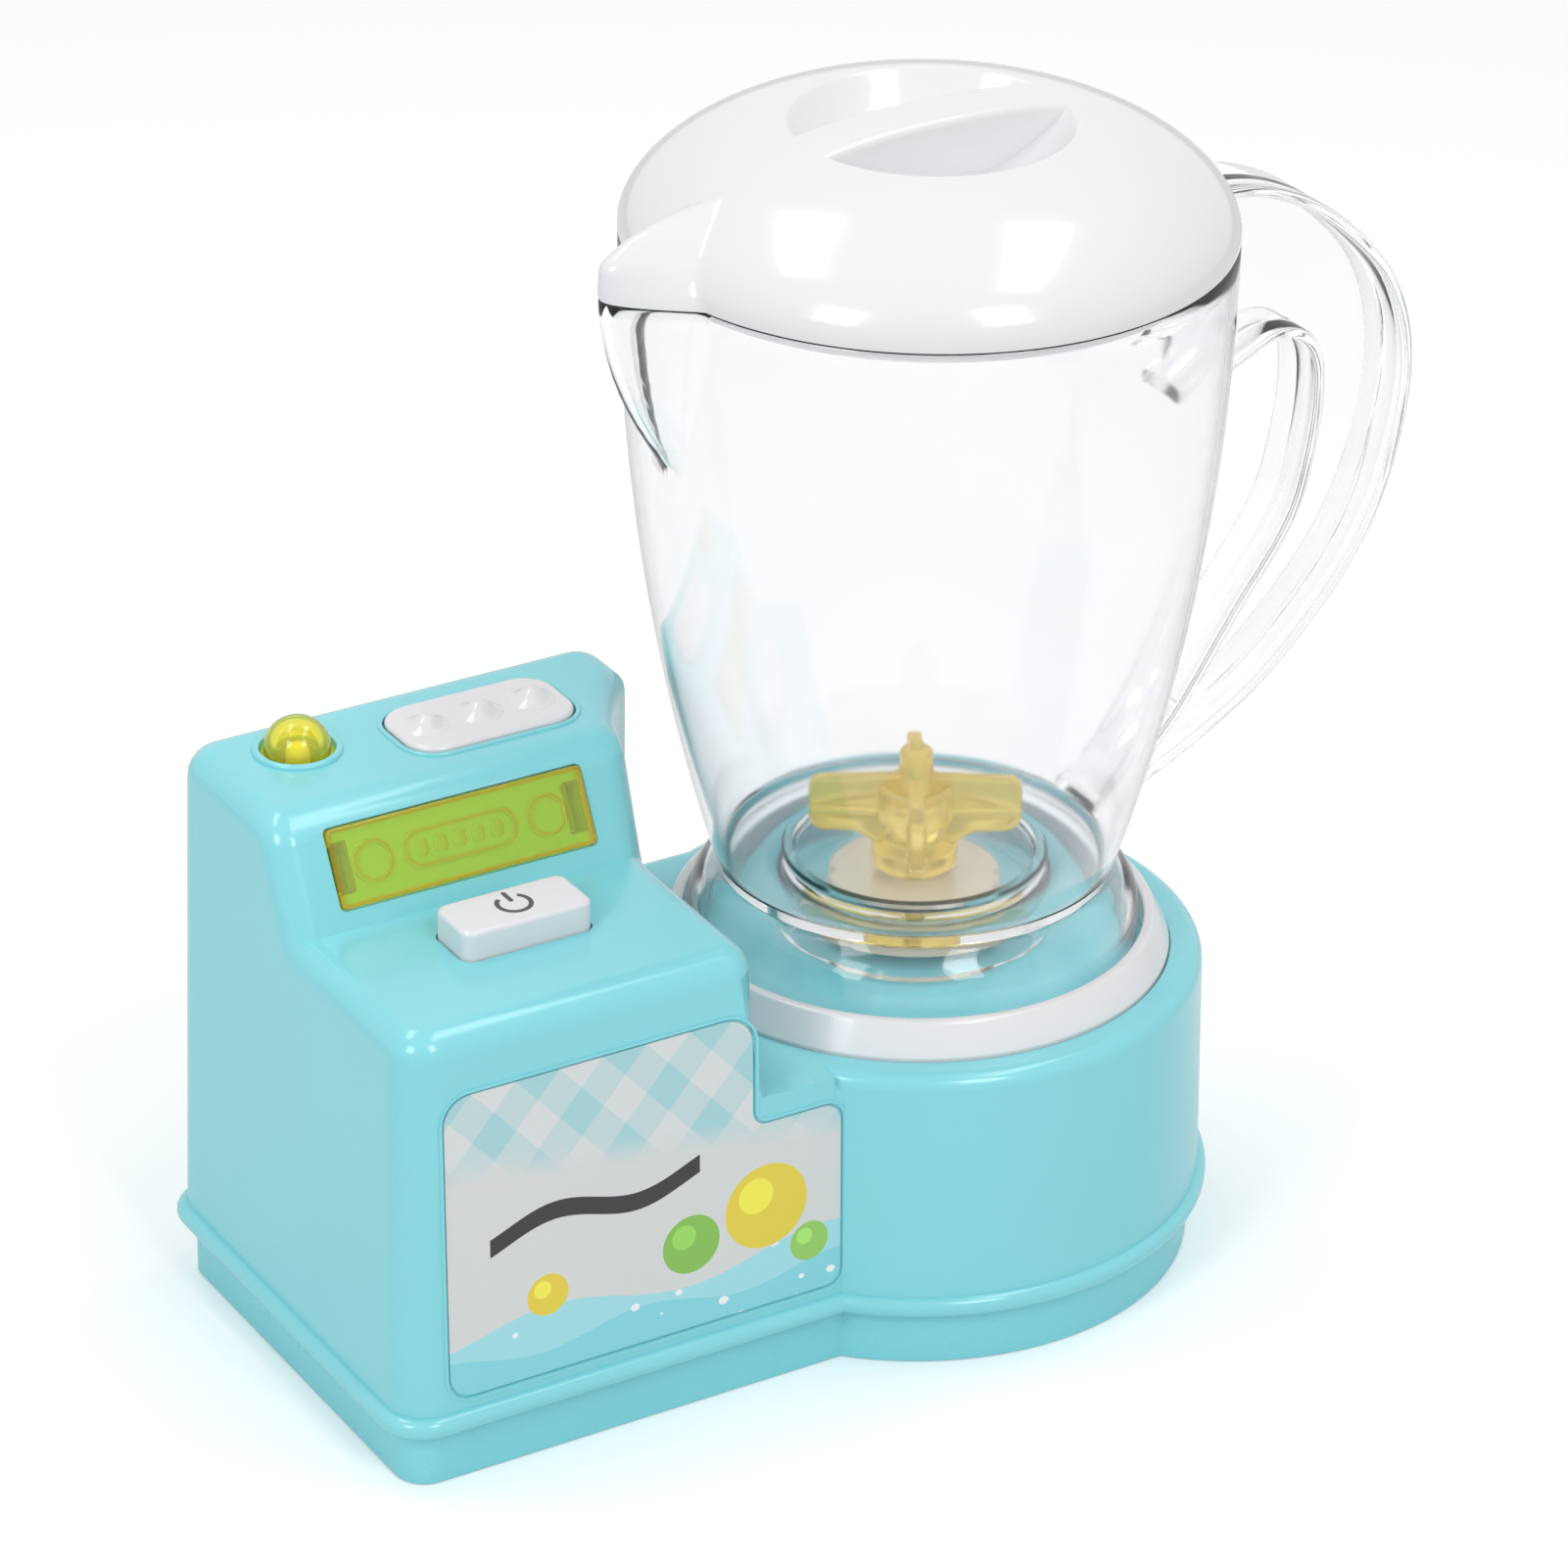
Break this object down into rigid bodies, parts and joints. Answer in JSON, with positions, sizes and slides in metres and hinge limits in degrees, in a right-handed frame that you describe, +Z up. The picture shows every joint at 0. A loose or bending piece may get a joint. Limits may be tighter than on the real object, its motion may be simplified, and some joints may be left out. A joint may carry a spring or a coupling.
{
  "type": "toy blender",
  "caption": "Battery toy blender: a blue base with a control tower and button, and a clear lift-off jug with a spinning impeller, handle, spout and domed lid.",
  "frame": {"origin": "on the drive axis of the jug, in the plane the base stands on", "axes": "+X from the control tower toward the jug's handle, +Y to the back, +Z up; the button side faces -Y"},
  "size_m": [0.2465, 0.1198, 0.2378],
  "materials": {
    "teal_shell": "glossy moulded baby-blue plastic",
    "teal_plastic": "glossy moulded baby-blue plastic",
    "white_plastic": "glossy white plastic",
    "clear_plastic": "clear moulded plastic with a faint grey tint",
    "amber_lens": "clear amber plastic",
    "amber_blade": "clear amber plastic, softer than the lens",
    "cream_plastic": "plain cream plastic",
    "label_film": "printed film with a pale check",
    "nylon": "natural nylon",
    "steel": "plated steel",
    "brass": "turned brass",
    "cell_wrap": "plain cell wrap",
    "board_green": "green solder resist",
    "black_plastic": "black switch body",
    "led_body": "diffused lamp body"
  },
  "bodies": {
    "base": {"tray": "teal_plastic", "battery_cells": "cell_wrap", "battery_contacts": "steel", "housing": "teal_shell", "front_label": "label_film", "seat_ring": "white_plastic", "housing_screws": "steel", "drive_bush": "nylon", "gear_plate": "nylon", "plate_screws": "steel", "motor": "steel", "circuit_board": "board_green", "board_screws": "steel", "push_switch": "black_plastic", "button_spring": "steel", "lamp_lens": "amber_lens", "lamp_led": "led_body", "bump_pad": "white_plastic", "display_window": "amber_lens"},
    "door": {"battery_door": "teal_plastic", "door_screw": "steel"},
    "jug": {"jug": "clear_plastic", "handle": "clear_plastic"},
    "lid": {"lid": "white_plastic"},
    "impeller": {"impeller": "amber_blade", "driven_coupling": "cream_plastic", "impeller_screw": "steel"},
    "drive": {"drive_shaft": "steel", "drive_gear": "nylon", "shaft_clip": "steel", "drive_coupling": "cream_plastic"},
    "motor_rotor": {"motor_shaft": "steel", "motor_pinion": "brass"},
    "button": {"power_button": "white_plastic", "switch_stem": "nylon"}
  },
  "joints": [
    {"name": "door_drop", "type": "slide", "parent": "base", "child": "door", "axis": [0, 0, -1], "range_m": [0, 0.03]},
    {"name": "jug_lift", "type": "slide", "parent": "base", "child": "jug", "axis": [0, 0, 1], "range_m": [0, 0.08]},
    {"name": "lid_lift", "type": "slide", "parent": "jug", "child": "lid", "axis": [0, 0, 1], "range_m": [0, 0.05]},
    {"name": "impeller_spin", "type": "hinge", "parent": "jug", "child": "impeller", "pos_m": [0, 0, 0.09], "axis": [0, 0, 1], "continuous": true},
    {"name": "drive_spin", "type": "hinge", "parent": "base", "child": "drive", "pos_m": [0, 0, 0.05], "axis": [0, 0, 1], "continuous": true},
    {"name": "motor_spin", "type": "hinge", "parent": "base", "child": "motor_rotor", "pos_m": [-0.0216, 0, 0.05], "axis": [0, 0, 1], "continuous": true},
    {"name": "button_press", "type": "slide", "parent": "base", "child": "button", "axis": [0, 0, -1], "range_m": [0, 0.002], "stiffness_N_per_m": 600, "springref_m": -0.001, "deforming": ["button_spring"]}
  ],
  "couplings": [
    {"joint": "impeller_spin", "follows": "drive_spin", "ratio": 1},
    {"joint": "motor_spin", "follows": "drive_spin", "ratio": -3}
  ]
}
